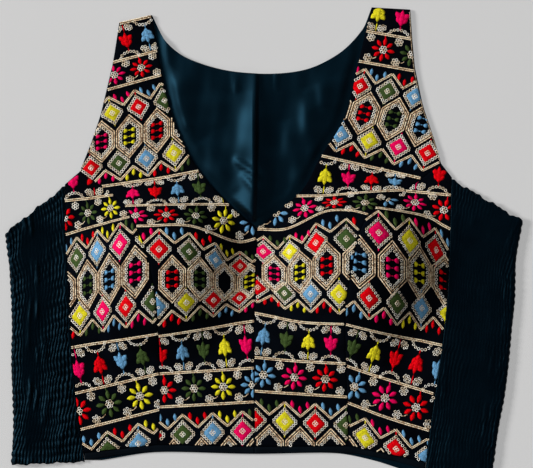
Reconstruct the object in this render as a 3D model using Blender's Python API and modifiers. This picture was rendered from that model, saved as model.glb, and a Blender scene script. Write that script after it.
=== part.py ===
"""Choli blouse: a sleeveless princess-line blouse, laid flat on its back with the front up.

The frame: +X is the viewer's right, +Y runs from the hem to the shoulders, +Z is up from the surface
that the blouse lies on. Sizes and tables are in millimetres and are turned into metres where a mesh
is made. Their origin is on the pattern's centre line, and an empty that carries every piece moves
it to the middle of the blouse's box.

The back lies flat. The two fronts lie on it and rise into two bust cups, which are hollow beneath.
Each side is a shirred panel, a strip folded round in a flat U from the front's side seam to the
back's. Each piece is a grid between its edge curves, thickened by Solidify.
"""

from bisect import bisect_right
from math import ceil, cos, hypot, pi, sin

import bmesh
import bpy

MM = 0.001

# The middle of the blouse's box, in the tables' own frame
BOX_MIDDLE = (0.4, -3.5)

# Cloth thicknesses, and the clearance between one piece and the next
BACK_THICKNESS = 1.2
FRONT_THICKNESS = 1.6
SHIRRED_THICKNESS = 1.4
HEM_THICKNESS = 1.4
GAP = 0.3
SEAM_GAP = 0.4

# Where the fronts start to be lifted from: the top of the back, and the gap over it
REST_HEIGHT = BACK_THICKNESS + GAP

# The bust cups: each is a dome with its own reach to its four sides
CUP_HEIGHT = 35.0
CUP_ROUNDNESS = 2.5
CUP_UP = 64.0
CUP_DOWN = 104.0
CUPS = (
    # centre x, centre y, reach to -X, reach to +X
    (-97.0, -13.0, 73.0, 90.0),
    (84.0, -13.0, 88.0, 74.0),
)

# The low swell of the fronts over the back, which cloth in two layers keeps
SWELL_HEIGHT = 3.0
SWELL_CENTRE = (-6.0, -80.0)
SWELL_REACH = (165.0, 112.0)

# Edge curves of each half: rows of (y, x), from the hem up
SIDE_SEAM = {
    "left": ((-191, -153.8), (-142, -161), (-98, -165), (-40, -168), (4, -170.6), (46, -170.7)),
    "right": ((-199, 139.2), (-157, 144.5), (-106, 152), (-51, 158.4), (0, 160.6), (52, 162)),
}
PRINCESS_SEAM = {
    "left": (
        (-186, -90.7),
        (-131, -89),
        (-60, -91.4),
        (-23, -97),
        (4, -106),
        (26, -118),
        (42, -136),
        (57, -158),
    ),
    "right": (
        (-186, 73.5),
        (-120, 71.5),
        (-60, 70.5),
        (-23, 76),
        (10, 84.5),
        (28, 99),
        (40, 121),
        (64, 152.7),
    ),
}
ARMHOLE = {
    "left": ((57, -158), (82, -148), (106, -140), (150, -129.5), (185, -124)),
    "right": ((64, 152.7), (84, 147), (114, 137), (150, 129.5), (196.3, 126.2)),
}
CENTRE_FRONT = ((-187, -7.6), (-90, -7.8), (-40, -7.2), (7.6, -5.6))
NECK = {
    "left": ((7.6, -5.6), (28, -29), (57.6, -55), (95, -74.8), (134.5, -85.7), (191.5, -95.8)),
    "right": ((7.6, -5.6), (27.5, 18.5), (43, 34.7), (69, 48.5), (103, 69), (151.4, 81.5), (198.2, 93)),
}

# The line of the front hem, and the back's neckline: rows of (x, y)
HEM = ((-153.8, -191), (-100, -184.2), (-10, -185.6), (72, -185), (108, -190.7), (139.2, -199))
BACK_NECK = (
    (-95.8, 191.5),
    (-84, 169),
    (-62, 153),
    (-20, 142.4),
    (31, 143.6),
    (64, 158),
    (85.6, 180),
    (93, 198.2),
)
HEM_BAND_DEPTH = 6.0

# The outer fold of each shirred side panel: rows of (y, x)
SIDE_FOLD = {
    "left": ((-195, -215.8), (-150, -215), (-100, -216.4), (-50, -216.2), (-20, -219.2), (5, -221.6)),
    "right": ((-205, 195.2), (-160, 203), (-110, 210.4), (-60, 215), (-15, 217.8), (15, 222.4)),
}
# The fold stands this high, and the top layer has a few long soft folds between it and the seam
FOLD_HEIGHT = 5.8
LONG_FOLDS = 3
LONG_FOLD_RISE = 0.5
# A shirred panel is joined this much lower than the front's side seam
SHIRRED_DROP = 1.5
# How much of a shirred panel's columns its bottom layer and the turn of its fold take
UNDER_SHARE = 0.2
TURN_SHARE = 0.2

# Mesh spacing
ROW_STEP = 11.5
CENTRE_COLUMNS = 9
SIDE_COLUMNS = 7
SHIRRED_COLUMNS = 20
HEM_COLUMNS = 12
OUTLINE_STEP = 9.0
SEAM_CROWDING = 0.6
# Over this much height an edge's slope is measured
SLOPE_STEP = 1.0

COLOURS = {
    # name: base colour, roughness
    "embroidered": ((0.004, 0.008, 0.016), 0.7),
    "lining": ((0.006, 0.022, 0.034), 0.45),
    "shirred": ((0.003, 0.011, 0.017), 0.55),
    "hem": ((0.005, 0.012, 0.022), 0.6),
}

HALVES = ("left", "right")


def smooth(rows, at):
    """The value at `at` on the smooth curve through (place, value) rows."""
    places = [place for place, _ in rows]
    values = [value for _, value in rows]
    last = len(rows) - 1
    first = max(0, min(last - 1, bisect_right(places, at) - 1))

    def slope(index):
        before, after = max(0, index - 1), min(last, index + 1)
        return (values[after] - values[before]) / (places[after] - places[before])

    width = places[first + 1] - places[first]
    share = (at - places[first]) / width
    return (
        (2 * share**3 - 3 * share**2 + 1) * values[first]
        + (share**3 - 2 * share**2 + share) * width * slope(first)
        + (3 * share**2 - 2 * share**3) * values[first + 1]
        + (share**3 - share**2) * width * slope(first + 1)
    )


def edge_along(lower, upper=None):
    """An edge as a function from y to x, made of one curve, or of two that meet at a corner."""
    if upper is None:
        return lambda y: smooth(lower, y)
    corner = upper[0][0]
    return lambda y: smooth(lower if y <= corner else upper, y)


def beside(edge, y, distance):
    """The point at height y on an edge, moved off it by `distance` towards +X."""
    slope = (edge(y + SLOPE_STEP / 2) - edge(y - SLOPE_STEP / 2)) / SLOPE_STEP
    length = hypot(1, slope)
    return edge(y) + distance / length, y - distance * slope / length


def between(start, end, share):
    return start + (end - start) * share


def crowded(across):
    """A share across a panel, moved so that columns crowd together at the two seams."""
    return across - SEAM_CROWDING * sin(2 * pi * across) / (2 * pi)


def spaced(knots, step):
    """Values that pass through each knot, at most `step` apart."""
    values = [knots[0]]
    for start, end in zip(knots, knots[1:]):
        count = max(1, ceil(abs(end - start) / step))
        values += [between(start, end, index / count) for index in range(1, count + 1)]
    return values


def dome(x, y):
    """Height of the two cups and the swell at a point, over where the fronts would lie flat."""
    height = 0.0
    for centre_x, centre_y, reach_left, reach_right in CUPS:
        reach_x = reach_left if x < centre_x else reach_right
        reach_y = CUP_UP if y > centre_y else CUP_DOWN
        far = min(1.0, hypot((x - centre_x) / reach_x, (y - centre_y) / reach_y))
        height += CUP_HEIGHT * (1 - far**CUP_ROUNDNESS) ** 2
    swell_x, swell_y = SWELL_CENTRE
    far = min(1.0, hypot((x - swell_x) / SWELL_REACH[0], (y - swell_y) / SWELL_REACH[1]))
    return height + SWELL_HEIGHT * (1 - far**2) ** 2


def material(name):
    colour, roughness = COLOURS[name]
    made = bpy.data.materials.new(name)
    made.use_nodes = True
    shader = made.node_tree.nodes["Principled BSDF"]
    shader.inputs["Base Color"].default_value = (*colour, 1)
    shader.inputs["Roughness"].default_value = roughness
    return made


def cloth(name, columns, levels, place, thickness, offset, finish):
    """A grid whose point at (share across, level) goes where `place` says, thickened into cloth."""
    mesh = bmesh.new()
    bmesh.ops.create_grid(mesh, x_segments=columns, y_segments=len(levels) - 1, size=0.5)
    for vertex in mesh.verts:
        level = levels[round((vertex.co.y + 0.5) * (len(levels) - 1))]
        vertex.co = [value * MM for value in place(vertex.co.x + 0.5, level)]
    data = bpy.data.meshes.new(name)
    mesh.to_mesh(data)
    mesh.free()
    data.shade_smooth()
    piece = bpy.data.objects.new(name, data)
    piece.data.materials.append(finish)
    wall = piece.modifiers.new("Cloth", "SOLIDIFY")
    wall.thickness = thickness * MM
    wall.offset = offset
    wall.use_even_offset = True
    return piece


def front_panel(name, left_edge, right_edge, bottoms, tops, corners, columns, finish):
    """A front panel between two edges. Each end of a row climbs from its own bottom to its own top."""
    shares = sorted((corner - low) / (high - low) for corner, low, high in corners)
    levels = spaced([0.0, *shares, 1.0], ROW_STEP / (tops[0] - bottoms[0]))

    def place(across, level):
        left = beside(left_edge, between(bottoms[0], tops[0], level), SEAM_GAP / 2)
        right = beside(right_edge, between(bottoms[1], tops[1], level), -SEAM_GAP / 2)
        share = crowded(across)
        x = between(left[0], right[0], share)
        y = between(left[1], right[1], share)
        return x, y, REST_HEIGHT + dome(x, y)

    return cloth(name, columns, levels, place, FRONT_THICKNESS, 1, finish)


def seam_heights(half):
    """Where the fronts end above the hem band: y at the side, princess and centre seams."""
    seams = (SIDE_SEAM[half], PRINCESS_SEAM[half], CENTRE_FRONT)
    return [smooth(HEM, seam[0][1]) + HEM_BAND_DEPTH + GAP for seam in seams]


def front_centre(half, finish):
    """The centre panel, with its strap up to the shoulder."""
    inner = edge_along(CENTRE_FRONT, NECK[half])
    outer = edge_along(PRINCESS_SEAM[half], ARMHOLE[half])
    _, outer_bottom, inner_bottom = seam_heights(half)
    outer_top, inner_top = ARMHOLE[half][-1][0], NECK[half][-1][0]
    corners = (
        (NECK[half][0][0], inner_bottom, inner_top),
        (ARMHOLE[half][0][0], outer_bottom, outer_top),
    )
    edges, bottoms, tops = (outer, inner), (outer_bottom, inner_bottom), (outer_top, inner_top)
    if half == "right":
        edges, bottoms, tops = edges[::-1], bottoms[::-1], tops[::-1]
    name = f"front_centre_{half}"
    return front_panel(name, *edges, bottoms, tops, corners, CENTRE_COLUMNS, finish)


def front_side(half, finish):
    """The panel between the princess seam and the side seam; its short top is the underarm."""
    inner = edge_along(PRINCESS_SEAM[half], ARMHOLE[half])
    outer = edge_along(SIDE_SEAM[half])
    outer_bottom, inner_bottom, _ = seam_heights(half)
    outer_top, inner_top = SIDE_SEAM[half][-1][0], ARMHOLE[half][0][0] - GAP
    edges, bottoms, tops = (outer, inner), (outer_bottom, inner_bottom), (outer_top, inner_top)
    if half == "right":
        edges, bottoms, tops = edges[::-1], bottoms[::-1], tops[::-1]
    name = f"front_side_{half}"
    return front_panel(name, *edges, bottoms, tops, (), SIDE_COLUMNS, finish)


def hem_band(half, finish):
    """The plain band along one front's hem, from the centre front to the side seam."""
    heights = [height - GAP for height in seam_heights(half)]
    seams = (SIDE_SEAM[half], PRINCESS_SEAM[half], CENTRE_FRONT)
    tops = sorted(zip([smooth(seam, height) for seam, height in zip(seams, heights)], heights))
    feet = sorted(seam[0][1] for seam in seams)
    start, end = feet[0] + SEAM_GAP / 2, feet[-1] - SEAM_GAP / 2

    def place(across, level):
        x = between(start, end, across)
        chord = 0 if x < tops[1][0] else 1
        (x0, y0), (x1, y1) = tops[chord : chord + 2]
        top = between(y0, y1, (x - x0) / (x1 - x0))
        y = between(smooth(HEM, x), top, level)
        return x, y, REST_HEIGHT + dome(x, y)

    return cloth(f"hem_band_{half}", HEM_COLUMNS, [0.0, 1.0], place, HEM_THICKNESS, 1, finish)


def shirred_side(half, finish):
    """A shirred side panel: a strip folded round in a flat U, open at the armhole and at the hem."""
    seam, fold = SIDE_SEAM[half], SIDE_FOLD[half]
    wall = SHIRRED_THICKNESS / 2
    turn = (FOLD_HEIGHT - SHIRRED_THICKNESS) / 2
    levels = spaced([0.0, 1.0], ROW_STEP / (fold[-1][0] - fold[0][0]))
    seam_low, seam_high = seam[0][0] - SHIRRED_DROP, seam[-1][0] - SHIRRED_DROP
    fold_low, fold_high = fold[0][0], fold[-1][0]
    outward = -1 if half == "left" else 1

    def place(across, level):
        # across runs from the bottom layer, round the fold, to the top layer
        seam_y = between(seam_low, seam_high, level)
        fold_y = between(fold_low, fold_high, level)
        seam_x = smooth(seam, seam_y) + outward * SEAM_GAP / 2
        reach = abs(smooth(fold, fold_y) - seam_x) - turn - wall
        if across < UNDER_SHARE:
            out, height = reach * across / UNDER_SHARE, wall
        elif across <= UNDER_SHARE + TURN_SHARE:
            angle = pi * (across - UNDER_SHARE) / TURN_SHARE
            out = reach + turn * sin(angle)
            height = wall + turn * (1 - cos(angle))
        else:
            share = (1 - across) / (1 - UNDER_SHARE - TURN_SHARE)
            out = reach * share
            seam_height = REST_HEIGHT + FRONT_THICKNESS - wall + dome(seam_x, seam_y)
            rise = share * share * (3 - 2 * share)
            height = between(seam_height, FOLD_HEIGHT - wall, rise)
            height += LONG_FOLD_RISE * sin(LONG_FOLDS * pi * share) ** 2
        share = out / (reach + turn)
        return seam_x + outward * out, between(seam_y, fold_y, share), height

    def turned(across, level):
        return place(1 - across, level)

    name = f"shirred_side_{half}"
    route = place if half == "left" else turned
    return cloth(name, SHIRRED_COLUMNS, levels, route, SHIRRED_THICKNESS, 0, finish)


def sampled(rows, step=OUTLINE_STEP):
    """Points (place, value) on the smooth curve through rows, from the first row to the last."""
    return [(place, smooth(rows, place)) for place in spaced([place for place, _ in rows], step)]


def back_panel(finish):
    """The back, flat on the surface: side seams, armholes, straps and a shallow scooped neck."""
    outline = []
    for half, side in (("left", 1), ("right", -1)):
        flank = [
            (x + side * SEAM_GAP / 2, y)
            for y, x in sampled(SIDE_SEAM[half]) + sampled(ARMHOLE[half])
        ]
        outline.append(flank if half == "left" else flank[::-1])
    neck = sampled(BACK_NECK)
    hem = sampled(HEM)[1:-1]
    points = outline[0] + neck + outline[1] + hem[::-1]
    curve = bpy.data.curves.new("back_panel", "CURVE")
    curve.dimensions = "2D"
    curve.fill_mode = "BOTH"
    curve.extrude = BACK_THICKNESS / 2 * MM
    spline = curve.splines.new("POLY")
    spline.points.add(len(points) - 1)
    for slot, (x, y) in zip(spline.points, points):
        slot.co = (x * MM, y * MM, 0, 1)
    spline.use_cyclic_u = True
    piece = bpy.data.objects.new("back_panel", curve)
    piece.location.z = BACK_THICKNESS / 2 * MM
    curve.materials.append(finish)
    return piece


def main():
    for old in list(bpy.data.objects):
        bpy.data.objects.remove(old)
    blouse = bpy.data.collections.new("Choli_Blouse")
    bpy.context.scene.collection.children.link(blouse)
    middle = bpy.data.objects.new("Choli_Blouse", None)
    middle.location = (-BOX_MIDDLE[0] * MM, -BOX_MIDDLE[1] * MM, 0)
    blouse.objects.link(middle)
    embroidered = material("embroidered")
    shirred = material("shirred")
    hem = material("hem")
    pieces = [back_panel(material("lining"))]
    for half in HALVES:
        pieces.append(front_centre(half, embroidered))
        pieces.append(front_side(half, embroidered))
        pieces.append(hem_band(half, hem))
        pieces.append(shirred_side(half, shirred))
    for piece in pieces:
        piece.parent = middle
        blouse.objects.link(piece)


main()
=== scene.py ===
from math import cos, hypot, pi, radians, sin

import bpy
import numpy as np
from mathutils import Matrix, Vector


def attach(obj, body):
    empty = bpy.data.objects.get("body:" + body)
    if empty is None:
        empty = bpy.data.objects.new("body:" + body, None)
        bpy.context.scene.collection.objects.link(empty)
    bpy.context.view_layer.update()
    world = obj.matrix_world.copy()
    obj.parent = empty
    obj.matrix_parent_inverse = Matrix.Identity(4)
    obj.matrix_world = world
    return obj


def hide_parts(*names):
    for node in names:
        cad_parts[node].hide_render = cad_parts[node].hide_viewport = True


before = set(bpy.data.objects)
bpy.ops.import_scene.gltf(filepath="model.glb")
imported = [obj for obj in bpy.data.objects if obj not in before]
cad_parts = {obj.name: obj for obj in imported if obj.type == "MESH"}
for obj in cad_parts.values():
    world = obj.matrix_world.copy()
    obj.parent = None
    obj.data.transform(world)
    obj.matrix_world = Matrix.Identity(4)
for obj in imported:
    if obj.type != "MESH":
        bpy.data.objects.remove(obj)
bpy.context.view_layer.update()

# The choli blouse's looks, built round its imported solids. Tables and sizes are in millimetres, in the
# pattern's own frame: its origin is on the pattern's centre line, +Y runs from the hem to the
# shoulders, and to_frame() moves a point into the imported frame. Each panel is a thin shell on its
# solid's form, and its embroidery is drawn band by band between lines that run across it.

MM = 0.001
BOX_MIDDLE = np.array((0.4, -3.5, 0.0))

# Cloth sizes, as the solids have them
BACK_THICKNESS = 1.2
FRONT_THICKNESS = 1.6
SHIRRED_THICKNESS = 1.4
HEM_THICKNESS = 1.4
GAP = 0.3
REST_HEIGHT = BACK_THICKNESS + GAP
FOLD_HEIGHT = 5.8
HEM_BAND_DEPTH = 6.0
# The looks' own: the solids stand a little further apart at their seams than these shells do
SEAM_GAP = 0.1

# The bust cups and the low swell of the fronts, as the solids have them
CUP_HEIGHT = 35.0
CUP_ROUNDNESS = 2.5
CUP_UP = 64.0
CUP_DOWN = 104.0
CUPS = (
    # centre x, centre y, reach to -X, reach to +X
    (-97.0, -13.0, 73.0, 90.0),
    (84.0, -13.0, 88.0, 74.0),
)
SWELL_HEIGHT = 3.0
SWELL_CENTRE = (-6.0, -80.0)
SWELL_REACH = (165.0, 112.0)

# Edge curves of each half: rows of (y, x), from the hem up
SIDE_SEAM = {
    "left": ((-191, -153.8), (-142, -161), (-98, -165), (-40, -168), (4, -170.6), (46, -170.7)),
    "right": ((-199, 139.2), (-157, 144.5), (-106, 152), (-51, 158.4), (0, 160.6), (52, 162)),
}
PRINCESS_SEAM = {
    "left": (
        (-186, -90.7), (-131, -89), (-60, -91.4), (-23, -97),
        (4, -106), (26, -118), (42, -136), (57, -158),
    ),
    "right": (
        (-186, 73.5), (-120, 71.5), (-60, 70.5), (-23, 76),
        (10, 84.5), (28, 99), (40, 121), (64, 152.7),
    ),
}
ARMHOLE = {
    "left": ((57, -158), (82, -148), (106, -140), (150, -129.5), (185, -124)),
    "right": ((64, 152.7), (84, 147), (114, 137), (150, 129.5), (196.3, 126.2)),
}
CENTRE_FRONT = ((-187, -7.6), (-90, -7.8), (-40, -7.2), (7.6, -5.6))
NECK = {
    "left": ((7.6, -5.6), (28, -29), (57.6, -55), (95, -74.8), (134.5, -85.7), (191.5, -95.8)),
    "right": ((7.6, -5.6), (27.5, 18.5), (43, 34.7), (69, 48.5), (103, 69), (151.4, 81.5), (198.2, 93)),
}
SIDE_FOLD = {
    "left": ((-195, -215.8), (-150, -215), (-100, -216.4), (-50, -216.2), (-20, -219.2), (5, -221.6)),
    "right": ((-205, 195.2), (-160, 203), (-110, 210.4), (-60, 215), (-15, 217.8), (15, 222.4)),
}
# Rows of (x, y)
HEM = ((-153.8, -191), (-100, -184.2), (-10, -185.6), (72, -185), (108, -190.7), (139.2, -199))
BACK_NECK = (
    (-95.8, 191.5), (-84, 169), (-62, 153), (-20, 142.4),
    (31, 143.6), (64, 158), (85.6, 180), (93, 198.2),
)
SHIRRED_DROP = 1.5
# The back's grid: its columns are about this far apart, and follow the side seams up to this height
BACK_COLUMN = 1.9
UNDERARM = 46
BACK_ROWS = 110

# Soft ridges laid on the fronts: from x, y to x, y, half width, height
FRONT_CREASES = (
    (-122, 178, -112, 92, 5, 0.7),
    (118, 186, 108, 96, 6, 0.6),
    (-152, 40, -120, -6, 4, 0.9),
    (150, 46, 122, 0, 5, 0.8),
    (-30, 14, -52, -26, 6, 0.8),
    (24, 12, 40, -24, 7, 0.7),
    (-150, -70, -132, -176, 6, 1.0),
    (-70, -104, -62, -180, 7, 0.9),
    (-34, -92, -30, -176, 5, 0.7),
    (22, -98, 30, -182, 8, 0.8),
    (52, -108, 48, -180, 5, 0.6),
    (104, -96, 98, -184, 7, 1.0),
    (136, -80, 124, -188, 5, 0.7),
)
# Soft ridges on the inside of the back, where the neck shows it
BACK_CREASES = (
    (-69, 152, -66, 92, 9, 1.6),
    (-46, 141, -38, 96, 9, 0.9),
    (-27, 142, -22, 126, 2.4, 1.6),
    (11, 143, 13, 128, 2.2, 1.6),
    (36, 128, 41, 64, 7, 1.3),
    (49, 146, 51, 110, 6, 1.0),
    (-26, 68, -2, 52, 2.6, 1.7),
    (-20, 56, -4, 38, 3.0, 1.2),
    (-52, 84, -24, 40, 8, 1.2),
    (18, 100, 30, 46, 9, 1.0),
    (-88, 178, -80, 150, 4, 1.2),
    (80, 172, 76, 142, 4, 1.2),
)
# The sharp tuck down the middle of the back: it climbs slowly from the left and drops to the right
TUCK_X = -7.5
TUCK_RISE = 9.0
TUCK_RUN = 20.0
TUCK_DROP = 2.2
TUCK_VALLEY = 2.2

# The rows of elastic in the shirred sides, and the ribs between them
ELASTIC_STEP = 7.0
ELASTIC_PINCH = 0.45
RIB_PITCH = 2.7
RIB_RISE = 0.7
SCALLOP = 0.5
# Long folds in a shirred side, each broken in places: its share of the way across, how far it sways,
# a sway's length over 2 pi, half width, rise
LONG_FOLDS = (
    (0.53, 1.6, 23, 1.7, 1.3),
    (0.575, 2.2, 31, 1.5, 1.1),
    (0.64, 3.0, 27, 3.0, 0.8),
    (0.78, 2.4, 35, 2.4, 0.9),
    (0.9, 1.8, 19, 2.0, 1.1),
)
# A shirred side's grid: columns over its underside, round its fold and over its top
SHIRRED_ROWS = 168
UNDER_COLUMNS = 22
BEND_COLUMNS = 10
OVER_COLUMNS = 116
OVER = UNDER_COLUMNS + BEND_COLUMNS
# The right side lies stretched flatter than the left
SIDE_RELIEF = {"left": 1.0, "right": 0.26}

# The embroidery's design sizes on flat cloth
COMB_HEIGHT = 93.0
LEAF_HEIGHT = 33.0
DAISY_HEIGHT = 28.5
PITCH = 26.7
LEAF_PITCH = 18.5
SEQUIN = 1.42
SEQUIN_STEP = 2.72
LINE_WIDTH = 2.7
ZIGZAG_WIDTH = 2.3
HEXAGON_ROWS = 2
HEXAGON_ROW = 1.9
STEM_WIDTH = 1.1
# The row of stitches on the right armhole's edge: how far in, how wide, from y to y
EDGE_STITCH = 0.75
EDGE_WIDTH = 0.6
EDGE_REACH = (66.0, 195.0)
# A line is sampled this often, from x to x over all the panels
LINE_SAMPLE = 0.8
LINE_REACH = (-175.0, 168.0)
STITCH_STEP = 1.45
STITCH_LENGTH = 2.3
# How far satin stays in from a panel's edges, and how deep its outline is pressed into the cloth
SATIN_MARGIN = 0.45
SATIN_SUNK = 0.06
DIAMOND_REACH = 9.2
# Points across and along a front panel's shell
FRONT_GRIDS = {"centre": (62, 190), "side": (42, 122)}
# What the uneven handwork's random draws start from
SEQUIN_SEED, ZARI_SEED, RIB_SEED = 11, 31, 51
# Heights over the comb's diamonds of its zigzag's peaks and dips
PEAK = 16.2
DIP = 5.0
# Where a comb's rows lie, as shares of its height at a row's first and last motif, and how far the
# motifs lean to the right for each unit of height: the rows draw together where the cloth dips by the
# centre front, and apart over the cups
COMB_ROWS = {
    "left_strap": ((0.255, 0.255, -0.25), (0.53, 0.53, 0), (0.785, 0.785, -0.1)),
    "right_strap": ((0.24, 0.24, 0.31), (0.495, 0.495, 0.31), (0.75, 0.75, 0.28)),
    "cup_side_left": ((0.23, 0.19, 0), (0.5, 0.46, 0), (0.735, 0.725, 0)),
    "cup_centre_left": ((0.21, 0.295, 0), (0.49, 0.5, 0), (0.735, 0.685, 0)),
    "cup_centre_right": ((0.26, 0.25, 0), (0.5, 0.47, 0), (0.69, 0.735, 0)),
    "cup_side_right": ((0.2, 0.24, 0), (0.46, 0.46, 0), (0.735, 0.735, 0)),
    "hem": ((0.255, 0.255, 0), (0.51, 0.51, 0), (0.765, 0.765, 0)),
}
HEM_COMB_DROP = -96.0

COLOURS = ("red", "pink", "yellow", "blue", "green")

# The bands from the shoulder down, each between its own zari line and the next, or the hem
BANDS = ("leaves", "daisies", "comb") * 3
# For each front panel: its lines, as points (x, y), and its bands' rows of motifs, each
# (first x, last x, colours). A side front has only the lower six. After its row, a band of leaves
# says whether the first one stands upright. A comb has its place in COMB_ROWS, the diamonds over, the
# hexagons and the diamonds under, and then the drops' colours in each dip of the zigzag over and of
# the one under. Where it says none a dip is empty, and a bare hexagon has no bows
EMBROIDERY = {
    "front_centre_left": {
        "lines": (
            ((-124.5, 184), (-92.5, 191.5)),
            ((-127, 151.5), (-90.5, 161)),
            ((-133.5, 127.5), (-88, 140)),
            ((-141.5, 44), (-97.5, 50), (-56.5, 57.5)),
            ((-118, 26.5), (-29, 28.5)),
            ((-103.5, 9.5), (-63, 9.5), (-23, -3.5), (-4, 0)),
            ((-90.5, -83.5), (-12.5, -72)),
            ((-93.5, -117), (-12.5, -112)),
            ((-93.5, -145.5), (-12.5, -141)),
        ),
        "bands": (
            ((-118, -100, "red blue"), False),
            ((-128, -105, "pink red"),),
            (
                "left_strap",
                (-130, -85, "yellow red green"),
                (-139, -68, "pink yellow red blue"),
                (-148, -77, "red green blue yellow"),
                "red pink blue yellow", "none pink yellow red green",
            ),
            ((-112, -36, "pink red blue green yellow"), True),
            ((-109, -10, "pink red green yellow blue"),),
            (
                "cup_centre_left",
                (-89, -21, "red green blue red"),
                (-78, -12, "red green bare yellow"),
                (-91, -21, "blue yellow red red"),
                "pink blue red yellow green", "pink red green blue pink",
            ),
            ((-88, -15, "red blue green yellow pink"), False),
            ((-85, -9, "red green yellow blue"),),
            (
                "hem",
                (-95, -18, "red green blue pink"),
                (-77, -6, "bare bare bare bare"),
                (),
                "none blue red yellow green", "",
            ),
        ),
    },
    "front_side_left": {
        "lines": (
            ((-170, 65), (-130.5, 69)),
            ((-170, 32), (-130.5, 36)),
            ((-171.5, 2.5), (-140.5, 10.5), (-110.5, 18)),
            ((-166.5, -94.5), (-91.5, -81.5)),
            ((-161, -133.5), (-91.5, -117)),
            ((-158.5, -165), (-91.5, -148)),
        ),
        "bands": (
            ((-164, -129, "pink red yellow"), False),
            ((-171, -110, "red green yellow pink"),),
            (
                "cup_side_left",
                (-159.5, -99.5, "green blue pink yellow"),
                (-172, -109, "red green blue pink"),
                (-157.5, -94.5, "yellow pink red green"),
                "blue red yellow green none", "red green blue pink none",
            ),
            ((-159, -104, "pink red blue green"), False),
            ((-159, -106, "red green yellow"),),
            (
                "hem",
                (-161, -81, "red green blue red"),
                (-148, -94, "bare bare bare"),
                (),
                "none blue red yellow none", "",
            ),
        ),
    },
    "front_centre_right": {
        "lines": (
            ((87.5, 211), (126, 204)),
            ((87.5, 178), (126, 171)),
            ((81.5, 152), (129.5, 143.5)),
            ((50.5, 70.5), (134.5, 51.5)),
            ((24.5, 36), (53, 35.5), (90.5, 38.5)),
            ((-4.5, 7.5), (21, 7.5), (53, 21.5), (74.5, 22.5), (90, 19)),
            ((-8, -64.5), (31.5, -71.5), (70, -73)),
            ((-8, -102.5), (31.5, -106), (70, -107.5)),
            ((-8, -131.5), (70, -136.5)),
        ),
        "bands": (
            ((99, 119, "yellow pink"), True),
            ((103, 127, "red green"),),
            (
                "right_strap",
                (83, 130, "red green blue"),
                (62, 136, "yellow red green blue"),
                (66, 141, "blue yellow pink red"),
                "pink blue red none", "none red green blue none",
            ),
            ((53, 113, "yellow pink red blue"), True),
            ((11, 87, "blue pink red green"),),
            (
                "cup_centre_right",
                (0, 71, "pink yellow red green"),
                (10, 80, "pink yellow red blue"),
                (-5, 65, "red green blue yellow"),
                "none green pink blue red", "none red yellow red blue",
            ),
            ((0, 58, "blue green yellow pink"), True),
            ((0, 53, "blue pink red"),),
            (
                "hem",
                (-8, 71, "red yellow red green"),
                (5, 58, "bare bare bare"),
                (),
                "none green pink blue none", "",
            ),
        ),
    },
    "front_side_right": {
        "lines": (
            ((96, 74.5), (120, 73.5), (159.5, 70)),
            ((96, 41.5), (120, 40.5), (159.5, 37)),
            ((96, 25), (121, 21.5), (142.5, 17), (157, 9.5)),
            ((70, -73), (102, -81), (152.5, -92)),
            ((72.5, -110), (95, -118), (146.5, -134)),
            ((73.5, -142), (108, -155), (144, -166)),
        ),
        "bands": (
            ((113, 151, "blue pink red"), False),
            ((105, 155, "blue pink red"),),
            (
                "cup_side_right",
                (98, 147, "pink yellow red"),
                (82, 156, "blue pink yellow red"),
                (90, 159, "red green blue yellow"),
                "yellow green pink blue", "blue pink yellow red none",
            ),
            ((77, 150, "green yellow red red blue"), False),
            ((78, 131, "blue pink red"),),
            (
                "hem",
                (61, 141, "green yellow red blue"),
                (74, 129, "bare bare bare"),
                (),
                "none green pink blue none", "",
            ),
        ),
    },
}


# ---------------------------------------------------------------- curves and surfaces


def to_frame(points):
    """Points in the pattern's millimetres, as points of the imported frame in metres."""
    return (np.asarray(points, float) - BOX_MIDDLE) * MM


def smooth(rows, at):
    """Values at `at` on the smooth curve through (place, value) rows; straight on past its ends."""
    places, values = np.array(rows, float).T
    at = np.asarray(at, float)
    slopes = np.empty_like(values)
    slopes[1:-1] = (values[2:] - values[:-2]) / (places[2:] - places[:-2])
    slopes[0] = (values[1] - values[0]) / (places[1] - places[0])
    slopes[-1] = (values[-1] - values[-2]) / (places[-1] - places[-2])
    first = np.clip(np.searchsorted(places, at, side="right") - 1, 0, len(rows) - 2)
    width = places[first + 1] - places[first]
    share = np.clip((at - places[first]) / width, 0, 1)
    value = (
        (2 * share**3 - 3 * share**2 + 1) * values[first]
        + (share**3 - 2 * share**2 + share) * width * slopes[first]
        + (3 * share**2 - 2 * share**3) * values[first + 1]
        + (share**3 - share**2) * width * slopes[first + 1]
    )
    before = np.minimum(at - places[0], 0) * slopes[0]
    after = np.maximum(at - places[-1], 0) * slopes[-1]
    return value + before + after


def edge_along(lower, upper=None):
    """An edge as a function from y to x, made of one curve, or of two that meet at a corner."""
    if upper is None:
        return lambda y: smooth(lower, y)
    corner = upper[0][0]
    return lambda y: np.where(np.asarray(y) <= corner, smooth(lower, y), smooth(upper, y))


def beside(edge, y, distance):
    """The points at heights y on an edge, moved off it by `distance` towards +X."""
    slope = edge(y + 0.5) - edge(y - 0.5)
    length = np.hypot(1, slope)
    return edge(y) + distance / length, y - distance * slope / length


def between(start, end, share):
    """The value this share of the way from start to end."""
    return start + (end - start) * share


def ease(share):
    """A share from 0 to 1 that starts and stops gently."""
    share = np.clip(share, 0, 1)
    return share * share * (3 - 2 * share)


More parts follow.
